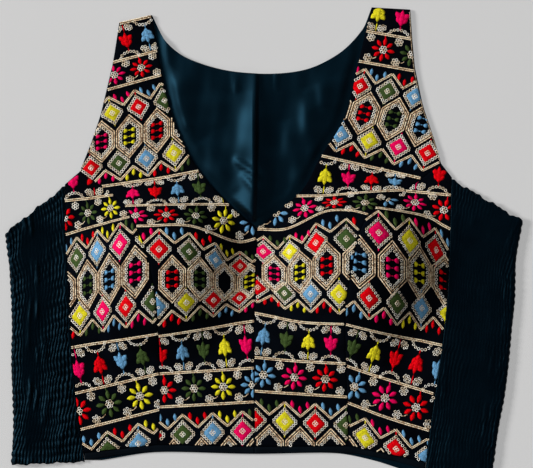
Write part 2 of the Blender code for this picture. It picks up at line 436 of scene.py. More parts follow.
def dome(x, y):
    """Height of the two cups and the swell over where the fronts would lie flat."""
    height = 0.0
    for centre_x, centre_y, reach_left, reach_right in CUPS:
        reach_x = np.where(x < centre_x, reach_left, reach_right)
        reach_y = np.where(y > centre_y, CUP_UP, CUP_DOWN)
        far = np.minimum(1, np.hypot((x - centre_x) / reach_x, (y - centre_y) / reach_y))
        height = height + CUP_HEIGHT * (1 - far**CUP_ROUNDNESS) ** 2
    swell_x, swell_y = SWELL_CENTRE
    far = np.minimum(1, np.hypot((x - swell_x) / SWELL_REACH[0], (y - swell_y) / SWELL_REACH[1]))
    return height + SWELL_HEIGHT * (1 - far**2) ** 2


def creases(rows, x, y):
    """Height of soft ridges: rows of from x, y to x, y, half width, height."""
    height = np.zeros(np.broadcast(x, y).shape)
    for x0, y0, x1, y1, width, rise in rows:
        run_x, run_y = x1 - x0, y1 - y0
        along = ((x - x0) * run_x + (y - y0) * run_y) / (run_x**2 + run_y**2)
        held = np.clip(along, 0, 1)
        off = np.hypot(x - x0 - held * run_x, y - y0 - held * run_y)
        height += rise * np.exp(-((off / width) ** 2)) * np.sqrt(np.clip(4 * held * (1 - held), 0, 1))
    return height


def clouds(x, y, size, seed):
    """Uneven hills and hollows from about -1 to 1, each about `size` across."""
    chance = np.random.default_rng(seed)
    height = 0
    for _ in range(9):
        turn, phase, share = chance.uniform(0, pi), chance.uniform(0, 2 * pi), chance.uniform(0.6, 1.8)
        height = height + np.sin((x * cos(turn) + y * sin(turn)) / (size * share) + phase)
    return height / 3


def front_under(x, y):
    """Height of the fronts' underside."""
    return REST_HEIGHT + dome(x, y) + creases(FRONT_CREASES, x, y)


def normals_of(height, x, y, step=0.5):
    """Unit normals of the surface z = height(x, y)."""
    along_x = (height(x + step, y) - height(x - step, y)) / (2 * step)
    along_y = (height(x, y + step) - height(x, y - step)) / (2 * step)
    normal = np.stack([-along_x, -along_y, np.ones_like(along_x)], -1)
    return normal / np.linalg.norm(normal, axis=-1, keepdims=True)


def crowded(count, steps=(0.0, 0.003, 0.01, 0.022)):
    """Shares from 0 to 1, close together at both ends."""
    ends = np.array(steps)
    middle = np.linspace(0.042, 0.958, count)
    return np.concatenate([ends, middle, 1 - ends[::-1]])


# ---------------------------------------------------------------- mesh making


class Stitching:
    """Points, faces, thread directions and material slots that end up as one mesh."""

    def __init__(self):
        self.points, self.faces, self.uvs, self.slots = [], [], [], []
        self.count = 0

    def add_copies(self, points, faces, uvs, slots=None):
        """points is (copies, n, 3): one shape's points for each copy. faces is that shape's own: a list
        of arrays, each of faces with equally many corners."""
        copies, size = points.shape[:2]
        shift = np.arange(copies)[:, None, None] * size + self.count
        chosen = np.zeros(copies, int) if slots is None else slots
        for group in faces:
            self.faces.extend((group + shift).reshape(-1, group.shape[1]).tolist())
            self.slots.extend(np.repeat(chosen, len(group)).tolist())
        self.points.append(points.reshape(-1, 3))
        self.uvs.append(uvs.reshape(-1, 2))
        self.count += copies * size

    def piece(self, name, materials):
        mesh = bpy.data.meshes.new(name)
        mesh.from_pydata(to_frame(np.concatenate(self.points)).tolist(), [], self.faces)
        for finish in materials:
            mesh.materials.append(finish)
        mesh.polygons.foreach_set("material_index", np.array(self.slots, np.int32))
        corners = np.empty(len(mesh.loops), np.int32)
        mesh.loops.foreach_get("vertex_index", corners)
        layer = mesh.uv_layers.new(name="threads")
        layer.data.foreach_set("uv", np.concatenate(self.uvs)[corners].astype(np.float32).ravel())
        mesh.shade_smooth()
        mesh.update()
        return place_in_scene(name, mesh)


def grid_faces(rows, columns):
    """Quads of a grid of points, row by row."""
    row, column = np.meshgrid(np.arange(rows - 1), np.arange(columns - 1), indexing="ij")
    corner = (row * columns + column).ravel()
    return np.stack([corner, corner + 1, corner + columns + 1, corner + columns], 1)


def grid_rim(rows, columns):
    """The points round a grid's edge, in order."""
    index = np.arange(rows * columns).reshape(rows, columns)
    return np.concatenate([index[0], index[1:, -1], index[-1, -2::-1], index[-2:0:-1, 0]])


def slab(name, outer, inner, finish):
    """A closed wall between two grids of points of the same size, outer and inner."""
    rows, columns = outer.shape[:2]
    size = rows * columns
    quads, rim = grid_faces(rows, columns), grid_rim(rows, columns)
    after = np.roll(rim, -1)
    walls = np.stack([rim, rim + size, after + size, after], 1)
    points = np.concatenate([outer.reshape(-1, 3), inner.reshape(-1, 3)])
    cloth = Stitching()
    cloth.add_copies(points[None], [quads, quads[:, ::-1] + size, walls], points[None, :, :2])
    return cloth.piece(name, [finish])


# ---------------------------------------------------------------- materials


class Finish:
    """A material in the making: its shader, and shorthands that add nodes and return their output."""

    def __init__(self, name, **settings):
        self.material = bpy.data.materials.new(name)
        self.material.use_nodes = True
        self.nodes, self.links = self.material.node_tree.nodes, self.material.node_tree.links
        self.shader = self.nodes["Principled BSDF"]
        for socket, value in settings.items():
            self.shader.inputs[socket.replace("_", " ")].default_value = value

    def place(self, kind="Object"):
        return self.nodes.new("ShaderNodeTexCoord").outputs[kind]

    def node(self, kind, vector, **settings):
        made = self.nodes.new(kind)
        for socket, value in settings.items():
            made.inputs[socket].default_value = value
        self.links.new(vector, made.inputs[0])
        return made

    def noise(self, vector, scale, detail=3.0):
        return self.node("ShaderNodeTexNoise", vector, Scale=scale, Detail=detail).outputs["Fac"]

    def wave(self, vector, period, direction, distortion):
        """Bands one period apart: Blender's wave texture makes 20 radians of them in a unit."""
        scale = 2 * pi / 20 / period
        made = self.node("ShaderNodeTexWave", vector, Scale=scale, Distortion=distortion, Detail=1.0)
        made.bands_direction = direction
        return made.outputs["Fac"]

    def maths(self, operation, first, second):
        made = self.nodes.new("ShaderNodeMath")
        made.operation = operation
        for socket, value in zip(made.inputs, (first, second)):
            if isinstance(value, float):
                socket.default_value = value
            else:
                self.links.new(value, socket)
        return made.outputs["Value"]

    def mix(self, first, second, share):
        """A mix of two values, with this share of the second."""
        kept = self.maths("MULTIPLY", first, 1 - share)
        return self.maths("ADD", kept, self.maths("MULTIPLY", second, share))

    def colour(self, value, stops):
        """The value drives the base colour, through a ramp of (place, colour) stops."""
        made = self.node("ShaderNodeValToRGB", value)
        elements = made.color_ramp.elements
        while len(elements) < len(stops):
            elements.new(0.5)
        for element, (place, colour) in zip(elements, stops):
            element.position = place
            element.color = (*colour, 1)
        self.links.new(made.outputs["Color"], self.shader.inputs["Base Color"])

    def bump(self, height, strength, distance):
        made = self.nodes.new("ShaderNodeBump")
        made.inputs["Strength"].default_value = strength
        made.inputs["Distance"].default_value = distance
        self.links.new(height, made.inputs["Height"])
        self.links.new(made.outputs["Normal"], self.shader.inputs["Normal"])


def woven(name, dark, light, period, strength, patch=40.0, **settings):
    """Plain woven cloth: a fine over-and-under weave, with slow changes of shade and fine flecks."""
    made = Finish(name, **settings)
    place = made.place()
    weave = made.maths("MAXIMUM", made.wave(place, period, "X", 0.6), made.wave(place, period, "Y", 0.6))
    slow = made.noise(place, patch)
    fleck = made.noise(place, 1400.0, 1.0)
    made.colour(made.mix(slow, fleck, 0.3), ((0.35, dark), (0.65, light)))
    made.bump(made.mix(weave, fleck, 0.4), strength, period * 0.25)
    return made.material


def satin_thread(name, colour):
    """Embroidery floss: strands side by side, lighter where they catch the light."""
    sheen = (*[value**0.5 for value in colour], 1)
    made = Finish(name, Roughness=0.5, Specular_IOR_Level=0.12, Specular_Tint=sheen)
    strands = made.wave(made.place("UV"), 0.5, "X", 1.6)
    slow = made.noise(made.place(), 650.0)
    dark = [value * 0.3 for value in colour]
    light = [min(1.0, value * 1.8 + 0.004) for value in colour]
    made.colour(made.mix(strands, slow, 0.6), ((0.26, dark), (0.46, colour), (0.66, light)))
    made.bump(strands, 0.6, 0.00015)
    return made.material


def by_piece(name, stops, patch, **settings):
    """Metal thread or foil, each stitch or sequin in a shade of its own, with a slower mottle over several:
    partly uneven tone, partly painted glints and painted shade, the lightest near white.
    """
    made = Finish(name, **settings)
    apart = made.node("ShaderNodeSeparateXYZ", made.place("UV"))
    slow = made.noise(made.place(), patch, 2.0)
    made.colour(made.mix(apart.outputs["X"], slow, 0.6), stops)
    made.bump(made.noise(made.place(), 3000.0, 1.0), 0.3, 0.0001)
    return made.material


THREAD_COLOURS = {
    "red": (0.62, 0.0, 0.003),
    "pink": (0.8, 0.001, 0.078),
    "yellow": (0.62, 0.52, 0.013),
    "blue": (0.1, 0.255, 0.43),
    "green": (0.036, 0.064, 0.016),
}
# Zari goes stitch by stitch from near black to near white: partly the thread's uneven tone, partly painted
# glints and painted shade
ZARI_TONES_AND_GLINTS = (
    (0.22, (0.12, 0.06, 0.03)),
    (0.34, (0.42, 0.26, 0.14)),
    (0.46, (0.84, 0.61, 0.38)),
    (0.6, (1.0, 0.86, 0.62)),
)
# Sequin foil goes from dull beige to near white, one shade to a sequin: partly its own tone, partly a
# painted glint
FOIL_TONES_AND_GLINTS = (
    (0.2, (0.42, 0.3, 0.18)),
    (0.4, (0.9, 0.76, 0.56)),
    (0.6, (1.0, 0.97, 0.88)),
)

NAVY = woven(
    "navy_cloth", (0.0003, 0.0006, 0.0016), (0.0011, 0.0022, 0.0045), 0.00055, 0.35,
    Roughness=0.85, Specular_IOR_Level=0.02,
)
HEM_CLOTH = woven(
    "hem_cloth", (0.0006, 0.0016, 0.0032), (0.0016, 0.0042, 0.0075), 0.00055, 0.35,
    Roughness=0.8, Specular_IOR_Level=0.04,
)
LINING = woven(
    "lining_satin", (0.0001, 0.0004, 0.0012), (0.0002, 0.0012, 0.003), 0.0003, 0.12, patch=14.0,
    Roughness=0.47, Specular_IOR_Level=0.27, Specular_Tint=(0.12, 0.6, 1.0, 1),
)
CRINKLE = woven(
    "crinkle_cloth", (0.0001, 0.0006, 0.0014), (0.0004, 0.0018, 0.0036), 0.00045, 0.3, patch=60.0,
    Roughness=0.42, Specular_IOR_Level=0.1, Specular_Tint=(0.15, 0.62, 1.0, 1),
)
ZARI = by_piece("zari_gold", ZARI_TONES_AND_GLINTS, 700.0, Roughness=0.36, Specular_IOR_Level=0.65)
FOIL = by_piece(
    "sequin_foil", FOIL_TONES_AND_GLINTS, 400.0, Roughness=0.24, Metallic=0.05, Specular_IOR_Level=0.75,
)
THREADS = [satin_thread(f"floss_{name}", THREAD_COLOURS[name]) for name in COLOURS]


# ---------------------------------------------------------------- small shapes that repeat


def lobe_shape(lengths=6, across=4):
    """A satin lobe: (across -1 to 1, along 0 to 1, height 0 to 1), its faces, and an outline below."""
    points = [(0, 0, 0.12)]
    for index in range(1, lengths):
        along = index / lengths
        width = sin(pi * along**1.15) ** 0.9
        for step in range(across + 1):
            side = -1 + 2 * step / across
            round_top = (1 - abs(side) ** 2.4) * sin(pi * along) ** 0.5
            points.append((side * width, along, 0.12 + 0.88 * round_top))
    points.append((0, 1, 0.12))
    last, row = len(points) - 1, across + 1
    tip = [(0, 1 + step + 1, 1 + step) for step in range(across)]
    start = 1 + (lengths - 2) * row
    tip += [(last, start + step, start + step + 1) for step in range(across)]
    quads = grid_faces(lengths - 1, row) + 1
    left = [1 + index * row for index in range(lengths - 1)]
    right = [value + across for value in left]
    under = [0, *left, last, *right[::-1]]
    return np.array(points), [np.array(tip), quads, np.array([under])]


def diamond_shape(cells=10):
    """A satin diamond of half diagonal 1, pillowed, with its middle pressed in."""
    side = np.linspace(-1, 1, cells + 1)
    across, along = np.meshgrid(side, side)
    pillow = (1 - across**4) * (1 - along**4)
    height = 0.1 + 0.9 * pillow * (1 - 0.35 * np.exp(-6 * (across**2 + along**2)))
    # The satin's outline has teeth, where stitches end short
    edge = np.maximum(np.abs(across), np.abs(along)) == 1
    teeth = 1 - 0.08 * edge * (np.indices(across.shape).sum(0) % 2)
    points = np.stack([(across - along) / 2 * teeth, (across + along) / 2 * teeth, height], -1)
    rim = grid_rim(cells + 1, cells + 1)
    return points.reshape(-1, 3), [grid_faces(cells + 1, cells + 1), rim[None, ::-1]]


def ring_shape(sides=7):
    """A sequin of radius 1: a ring, raised between its rim and its hole."""
    rings = ((1.0, -0.02), (0.78, 0.2), (0.54, 0.02))
    points = []
    for radius, height in rings:
        for step in range(sides):
            angle = 2 * pi * step / sides
            points.append((radius * cos(angle), radius * sin(angle), height))
    faces = []
    for ring in range(3):
        low, high = ring * sides, (ring + 1) % 3 * sides
        for step in range(sides):
            after = (step + 1) % sides
            faces.append((low + step, low + after, high + after, high + step))
    return np.array(points), [np.array(faces)]


def grain_shape():
    """One stitch of thread: a long bead with pointed ends, of half length 1 and radius 1."""
    points = [(-1, 0, 0), (1, 0, 0), (0, 1, 0), (0, 0, 1), (0, -1, 0), (0, 0, -1)]
    faces = []
    for step in range(4):
        here, after = 2 + step, 2 + (step + 1) % 4
        faces += [(1, here, after), (0, after, here)]
    return np.array(points, float), [np.array(faces)]


LOBE = lobe_shape()
SMALL_LOBE = lobe_shape(4, 2)
DIAMOND = diamond_shape()
RING = ring_shape()
GRAIN = grain_shape()


# ---------------------------------------------------------------- the front panels


def seam_heights(half):
    """Where the fronts end above the hem band: y at the side, princess and centre seams."""
    seams = (SIDE_SEAM[half], PRINCESS_SEAM[half], CENTRE_FRONT)
    return [float(smooth(HEM, seam[0][1])) + HEM_BAND_DEPTH + GAP for seam in seams]


class Panel:
    """One front panel: its edges, its surface, and what is sewn on it."""

    def __init__(self, name, edges, bottoms, tops, corners):
        self.name = name
        self.left, self.right = edges
        self.bottoms, self.tops, self.corners = bottoms, tops, corners
        self.sequins, self.lines, self.lobes, self.diamonds = [], [], [], []

    def line(self, heights):
        """The straight top or bottom edge, as a function from x to y."""
        x0, x1 = float(self.left(heights[0])), float(self.right(heights[1]))
        return lambda x: between(heights[0], heights[1], (x - x0) / (x1 - x0))

    def inside(self, x, y, margin):
        low, high = self.line(self.bottoms), self.line(self.tops)
        return (
            (x > self.left(y) + margin)
            & (x < self.right(y) - margin)
            & (y > low(x) + margin)
            & (y < high(x) - margin)
        )

    def held_in(self, x, y, margin):
        """Points moved back inside the panel's edges."""
        low, high = self.line(self.bottoms), self.line(self.tops)
        y = np.clip(y, low(x) + margin, high(x) - margin)
        return np.clip(x, self.left(y) + margin, np.maximum(self.left(y), self.right(y) - margin)), y

    def thickness(self, x, y):
        """The cloth thins to its turned edges, so that seams lie in shallow troughs."""
        near = np.minimum(x - self.left(y), self.right(y) - x)
        near = np.minimum(near, (y - self.line(self.bottoms)(x)) * 1.5)
        return FRONT_THICKNESS * (0.6 + 0.4 * (1 - np.exp(-np.maximum(near, 0) / 1.0)))

    def outer(self, x, y, lift):
        """Points of the panel's outer surface over (x, y), lifted off it, and its normals there."""
        normal = normals_of(front_under, x, y)
        base = np.stack([x, y, front_under(x, y)], -1)
        return base + normal * (self.thickness(x, y) + lift)[..., None], normal

    def shell(self, columns, rows):
        knots = np.sort([0.0, *[(at - low) / (high - low) for at, low, high in self.corners], 1.0])
        levels = np.concatenate([
            np.linspace(start, end, max(2, round((end - start) * rows)), endpoint=False)
            for start, end in zip(knots, knots[1:])
        ] + [[0.0015, 0.005, 0.995, 0.9985, 1.0]])
        levels = np.unique(np.round(levels, 5))[:, None]
        shares = crowded(columns)[None, :]
        left = beside(self.left, between(self.bottoms[0], self.tops[0], levels), SEAM_GAP / 2)
        right = beside(self.right, between(self.bottoms[1], self.tops[1], levels), -SEAM_GAP / 2)
        x, y = between(left[0], right[0], shares), between(left[1], right[1], shares)
        top, _ = self.outer(x, y, np.zeros_like(x))
        bottom = np.stack([x, y, front_under(x, y)], -1)
        return slab(self.name.replace("front", "cloth"), top, bottom, NAVY)


class Spot:
    """A place on a panel with a motif's own axes, along the band's slope and up with a lean."""

    def __init__(self, x, y, slope, lean, wide, high):
        along = np.array((1, slope)) / hypot(1, slope)
        up = np.array((lean, 1)) / hypot(1, lean)
        self.place = np.array((x, y))
        self.axes = np.stack([along * wide, up * high], 1)

    def at(self, points):
        return self.place + np.atleast_2d(np.asarray(points, float)) @ self.axes.T


def spots(upper, lower, share, first, last, count, height, pitch, lean=None):
    """Places at equal distances along the cloth, from first x to last x, between two lines: at the
    two shares of the way from the upper to the lower line, for the first place and the last. Motifs
    stand square to the band, unless they lean: so far to the right for each unit of height."""
    def level(x):
        ahead = np.clip((x - first) / max(last - first, 1.0), 0, 1)
        return between(upper(x), lower(x), between(*share, ahead))

    x = np.linspace(first - 2 * pitch, last + 2 * pitch, 600)
    y = level(x)
    z = front_under(x, y)
    plan = np.hypot(np.diff(x), np.diff(y))
    cloth = np.sqrt(plan**2 + np.diff(z) ** 2)
    run = np.concatenate([[0], np.cumsum(cloth)])
    start, end = np.interp([first, last], x, run)
    places = np.linspace(start, end, count) if count > 1 else np.array([(start + end) / 2])
    step = (end - start) / (count - 1) if count > 1 else pitch
    shrink = np.interp(np.interp(places, run, x), (x[1:] + x[:-1]) / 2, plan / cloth)
    found = []
    for place_x, narrow in zip(np.interp(places, run, x), shrink):
        slope = float(level(place_x + 0.5) - level(place_x - 0.5))
        leans = -slope if lean is None else lean
        gap = float(upper(place_x) - lower(place_x)) * hypot(1, leans) / (1 - slope * leans)
        wide = float(np.clip(narrow * step / pitch, 0.55, 1.2))
        found.append(Spot(place_x, float(level(place_x)), slope, leans, wide, gap / height))
    return found


def add_lobe(panel, spot, colour, start, end, width, height, small=False):
    """A satin lobe from start to end, in the motif's own sizes."""
    start, end = np.array(start, float), np.array(end, float)
    run = end - start
    length = hypot(*run)
    turned = np.array(((run[1], run[0]), (-run[0], run[1]))) / length
    matrix = spot.axes @ turned @ np.diag((width, length))
    panel.lobes.append((spot.at(start)[0], matrix, width, length, height, COLOURS.index(colour), small))


def add_sequins(panel, spot, points, size=SEQUIN, lift=0.16, lean=0.0, closed=False):
    """Sequins at points of a motif; where they overlap in a row, each leans over the next by `lean`."""
    placed = spot.at(points)
    ahead = np.roll(placed, -1, axis=0) - placed
    if not closed and len(placed) > 1:
        ahead[-1] = ahead[-2]
    ahead *= lean / np.maximum(np.hypot(*ahead.T), 1e-6)[:, None]
    for (x, y), (lean_x, lean_y) in zip(placed, ahead):
        panel.sequins.append((x, y, size, lift, lean_x, lean_y))


def sequin_row(panel, spot, path, closed=False):
    """Overlapping sequins along a path of a motif."""
    points = along_path(path, SEQUIN_STEP, closed)
    add_sequins(panel, spot, points, lean=0.2, closed=closed)


def along_path(points, step, closed=False):
    """Points at equal steps along a path."""
    points = np.array(points, float)
    if closed:
        points = np.concatenate([points, points[:1]])
    run = np.concatenate([[0], np.cumsum(np.hypot(*np.diff(points, axis=0).T))])
    count = max(2, int(round(run[-1] / step)) + 1)
    places = np.linspace(0, run[-1], count)
    if closed:
        places = places[:-1]
    return np.stack([np.interp(places, run, points[:, axis]) for axis in (0, 1)], 1)


def rosette(panel, spot, x, y, reach=2.6):
    """A little flower of six sequins round one."""
    angles = np.arange(6) * pi / 3 + 0.3
    ring = np.stack([x + reach * np.cos(angles), y + reach * np.sin(angles)], 1)
    add_sequins(panel, spot, ring, lean=0.2, closed=True)
    add_sequins(panel, spot, [(x, y)], SEQUIN * 0.9, lift=0.5)


def spray(panel, spot, x, y, turn):
    """A leaf-shaped patch of sequins that slants up and out."""
    angles = np.arange(7) * 2 * pi / 7
    ring = np.stack([2.9 * np.cos(angles), 1.9 * np.sin(angles)], 1)
    turned = np.array(((cos(turn), sin(turn)), (-sin(turn), cos(turn))))
    add_sequins(panel, spot, ring @ turned + (x, y), SEQUIN * 0.92, lean=0.2, closed=True)
    add_sequins(panel, spot, [(x, y)], SEQUIN * 0.85, lift=0.5)


def stem(panel, spot, path):
    """A single row of stitches along a path of a motif."""
    panel.lines.append((spot.at(along_path(path, LINE_SAMPLE)), STEM_WIDTH, 1))


def leaf(panel, spot, colour, upright):
    """A leaf of five lobes on two sprays of sequins under a hanging scallop, or all that reversed."""
    way = 1 if upright else -1

    def put(start, end, width, height, small=False):
        start, end = (start[0], start[1] * way), (end[0], end[1] * way)
        add_lobe(panel, spot, colour, start, end, width, height, small)

    put((-0.2, -7.6), (0.1, 7.6), 3.1, 1.0)
    put((0.3, 5.4), (-4.3, -0.4), 2.0, 0.75)
    put((0.3, 5.4), (4.5, -0.1), 2.0, 0.75)
    put((0.3, 1.4), (-5.6, -4.8), 2.4, 0.85)
    put((0.3, 1.4), (5.6, -4.4), 2.4, 0.85)
    put((0.1, 7.0), (0.3, 11.2), 0.6, 0.4, small=True)
    put((0, -15.6), (0.1, -7.2), 0.6, 0.4, small=True)
    for side in (-1, 1):
        spray(panel, spot, side * 4.4, -11.6 * way, side * 0.62 * way)
    angles = np.linspace(0.1, pi - 0.1, 24)
    sequin_row(panel, spot, [(7.8 * cos(angle), way * (15.8 - 5.2 * sin(angle))) for angle in angles])


def daisy(panel, spot, colour):
    """Eight satin petals round a patch of sequins, with a stem to each line and one to a rosette."""
    for step in range(8):
        angle = pi / 8 * (2 * step) + 0.06
        reach = 10.6 if step % 2 else 11.3
        inner = (3.2 * sin(angle), 3.2 * cos(angle))
        outer = (reach * sin(angle), reach * cos(angle))
        add_lobe(panel, spot, colour, inner, outer, 1.9, 0.9)
    add_lobe(panel, spot, colour, (0, 9.8), (-0.2, 14.2), 0.6, 0.4, small=True)
    angles = np.arange(6) * pi / 3
    ring = np.stack([2.4 * np.cos(angles), 2.4 * np.sin(angles)], 1)
    add_sequins(panel, spot, ring, lift=0.25, lean=0.2, closed=True)
    add_sequins(panel, spot, [(0, 0)], SEQUIN, lift=0.55)
    stem(panel, spot, [(-10.6, -9.6), (-7.6, -9.2), (-4.8, -7.2)])


def diamond(panel, spot, colour, way):
    """A satin diamond in a frame of sequins, with a stitch to the peak of the zigzag beyond it."""
    panel.diamonds.append((spot, COLOURS.index(colour)))
    reach = 10.4
    sequin_row(panel, spot, [(0, reach), (reach, 0), (0, -reach), (-reach, 0)], closed=True)
    middle = 1.35
    four = [(0, middle), (middle, 0), (0, -middle), (-middle, 0)]
    add_sequins(panel, spot, four, SEQUIN, 0.75, lean=0.2, closed=True)
    add_lobe(panel, spot, colour, (0, way * 10.6), (0.2, way * (PEAK - 0.8)), 0.65, 0.5, small=True)
    add_lobe(panel, spot, colour, (0, way * -10.6), (-0.3, way * -13.6), 0.6, 0.5, small=True)


def zigzag(panel, row, way):
    """One line that runs over all the diamonds of a row."""
    half = PITCH / 2
    points = [row[0][0].at((-PITCH, way * PEAK))[0]]
    for number, (spot, _) in enumerate(row):
        dip = spot.at((-half, way * DIP))[0]
        if number:
            dip = (dip + row[number - 1][0].at((half, way * DIP))[0]) / 2
        points += [dip, spot.at((0, way * PEAK))[0]]
    points += [row[-1][0].at((half, way * DIP))[0], row[-1][0].at((PITCH, way * PEAK))[0]]
    panel.lines.append((along_path(points, LINE_SAMPLE), ZIGZAG_WIDTH, 2))


def hexagon_path(inset):
    """A long hexagon with upright sides, this far in from the design's own outline."""
    half, high = 13.2 - inset, 21.4 - inset * 1.414
    side = high - half
    return [(0, high), (half, side), (half, -side), (0, -high), (-half, -side), (-half, side)]


def hexagon(panel, spot, colour):
    """Rows of zari and one of sequins round a dark middle, with three bows in it unless it is bare."""
    for row in range(HEXAGON_ROWS):
        path = hexagon_path((row + 0.5) * HEXAGON_ROW)
        panel.lines.append((spot.at(along_path(path + path[:1], LINE_SAMPLE)), HEXAGON_ROW, 1))
    sequin_row(panel, spot, hexagon_path(HEXAGON_ROWS * HEXAGON_ROW + 1.1), closed=True)
    for y in (-5.9, 0, 5.9) if colour in COLOURS else ():
        add_lobe(panel, spot, colour, (-1.4, y), (1.4, y), 0.55, 0.5, small=True)
        for side in (-1, 1):
            for spread in (-1.55, 0, 1.55):
                end = (side * (5.9 - abs(spread) * 0.1), y + spread)
                add_lobe(panel, spot, colour, (side * 1.2, y), end, 1.1, 0.8, small=True)


def drops(panel, spot, side, colour, way):
    """Three drops in the dip of a zigzag, to one side of a diamond, over or under it."""
    middle = side * PITCH / 2
    for x, y in ((middle - 6.8, 14.6), (middle - 0.2, 10.4), (middle + 6.4, 14.2)):
        start, end = (x + 0.7, way * (y - 3.4)), (x - 0.5, way * (y + 3.6))
        add_lobe(panel, spot, colour, start, end, 1.75, 0.85)


def motif_row(upper, lower, row, height, pitch, share=(0.5, 0.5), lean=None):
    """Pairs of place and colour, for a row of a band's motifs as (first x, last x, colours)."""
    if not row:
        return []
    colours = row[2].split()
    return list(zip(spots(upper, lower, share, *row[:2], len(colours), height, pitch, lean), colours))


def comb(panel, upper, lower, place, diamonds_high, hexagons, diamonds_low, over, under):
    """Hexagons in a honeycomb with diamonds over and under, each row behind a zigzag."""
    high, middle, low = (
        motif_row(upper, lower, row, COMB_HEIGHT, PITCH, share[:2], share[2])
        for share, row in zip(COMB_ROWS[place], (diamonds_high, hexagons, diamonds_low))
    )
    for spot, colour in middle:
        hexagon(panel, spot, colour)
    for row, way, dips in ((high, 1, over), (low, -1, under)):
        if not row:
            continue
        beside_spots = [(row[0][0], -1)] + [(spot, 1) for spot, _ in row]
        for (spot, side), colour in zip(beside_spots, dips.split()):
            if colour in COLOURS:
                drops(panel, spot, side, colour, way)
        for spot, colour in row:
            diamond(panel, spot, colour, way)
        zigzag(panel, row, way)


def leaves(panel, upper, lower, row, upright):
    """A band of leaves, every second one reversed."""
    for spot, colour in motif_row(upper, lower, row, LEAF_HEIGHT, LEAF_PITCH):
        leaf(panel, spot, colour, upright)
        upright = not upright


def daisies(panel, upper, lower, row):
    """A band of daisies, with a rosette over and under at each side of one."""
    found = motif_row(upper, lower, row, DAISY_HEIGHT, PITCH)
    for spot, colour in found:
        daisy(panel, spot, colour)
        for side in (-1, 1) if spot is found[-1][0] else (-1,):
            x = side * PITCH / 2
            rosette(panel, spot, x, 9.4)
            rosette(panel, spot, x, -9.6)
            stem(panel, spot, [(x, 12.4), (x, 14.0)])
            stem(panel, spot, [(x, -12.6), (x, -14.0)])


def embroider(panel):
    """Lays out every band of a panel, then the lines between them."""
    design = EMBROIDERY[panel.name]
    lines = [lambda x, points=points: smooth(points, x) for points in design["lines"]]
    lines_and_hem = [*lines, lambda x: lines[-1](x) + HEM_COMB_DROP]
    for kind, rows, upper, lower in zip(BANDS, design["bands"], lines, lines_and_hem[1:]):
        {"comb": comb, "leaves": leaves, "daisies": daisies}[kind](panel, upper, lower, *rows)
    if panel.name == "front_centre_right":
        y = np.arange(*EDGE_REACH, LINE_SAMPLE)
        panel.lines.append((np.stack([panel.right(y) - EDGE_STITCH, y], 1), EDGE_WIDTH, 1))
    for line in lines:
        x = np.arange(*LINE_REACH, LINE_SAMPLE)
        panel.lines.append((np.stack([x, line(x)], 1), LINE_WIDTH, 2))


def sewn_lobes(panel, threads):
    """The panel's satin lobes, laid on its surface and held inside its edges."""
    for small, (points, faces) in ((False, LOBE), (True, SMALL_LOBE)):
        rows = [row for row in panel.lobes if row[6] == small]
        if not rows:
            continue
        places = np.array([row[0] for row in rows])
        matrices = np.array([row[1] for row in rows])
        width, length, height = (np.array([row[column] for row in rows]) for column in (2, 3, 4))
        slots = np.array([row[5] for row in rows])
        middles = places + matrices @ np.array((0, 0.5))
        keep = panel.inside(middles[:, 0], middles[:, 1], 0.2)
        plan = places[:, None] + np.einsum("nij,kj->nki", matrices, points[:, :2])
        x, y = panel.held_in(plan[..., 0], plan[..., 1], SATIN_MARGIN)
        lift = points[None, :, 2] * height[:, None] - SATIN_SUNK
        placed, _ = panel.outer(x, y, lift)
        uvs = points[None, :, :2] * np.stack([width, length], 1)[:, None]
        threads.add_copies(placed[keep], faces, uvs[keep], slots[keep])


def sewn_diamonds(panel, threads):
    """The panel's satin diamonds, held inside its edges too."""
    points, faces = DIAMOND
    uvs = points[:, [1, 0]] * DIAMOND_REACH
    for spot, slot in panel.diamonds:
        x, y = spot.at(points[:, :2] * DIAMOND_REACH).T
        if panel.inside(x, y, 0.2).any():
            placed, _ = panel.outer(*panel.held_in(x, y, SATIN_MARGIN), points[:, 2] * 0.95 - SATIN_SUNK)
            threads.add_copies(placed[None], faces, uvs[None], [slot])


def stamped(name, shape, finish, places, axes, shades):
    """Copies of one shape as a piece, each at its own place, on its own axes and in its own shade."""
    points, faces = shape
    made = Stitching()
    uvs = np.broadcast_to(shades, (len(places), len(points), 2))
    made.add_copies(places[:, None] + np.einsum("kj,nji->nki", points, axes), faces, uvs)
    return made.piece(name, [finish])


def sewn_sequins(panel, seed):
    """The panel's sequins, each a little different in tilt, size and shade; the shade is partly the foil's
    own and partly a painted glint.
    """
    rows = np.array(panel.sequins)
    rows = rows[panel.inside(rows[:, 0], rows[:, 1], 0.85)]
    chance = np.random.default_rng(seed)
    place, normal = panel.outer(rows[:, 0], rows[:, 1], rows[:, 3])
    lean = chance.normal(0, 0.09, (len(rows), 3))
    lean[:, :2] += rows[:, 4:6]
    normal = normal + lean * np.array((1, 1, 0))
    normal /= np.linalg.norm(normal, axis=1, keepdims=True)
    side = np.cross(normal, (0.0, 1.0, 0.0))
    side /= np.linalg.norm(side, axis=1, keepdims=True)
    ahead = np.cross(normal, side)
    size = rows[:, 2] * chance.uniform(0.92, 1.08, len(rows))
    axes = np.stack([side, ahead, normal], 1) * size[:, None, None]
    # Each sequin's shade is partly its own tone and partly a painted glint, which makes the lightest near
    # white
    shades = chance.uniform(0, 1, (len(rows), 1, 2))
    return stamped(panel.name.replace("front", "sequins"), RING, FOIL, place, axes, shades)


def along_run(at, length, vectors):
    """Vectors at places `at` along a run, from the ones at each of its points' own lengths."""
    return np.stack([np.interp(at, length, vectors[:, axis]) for axis in range(3)], 1)


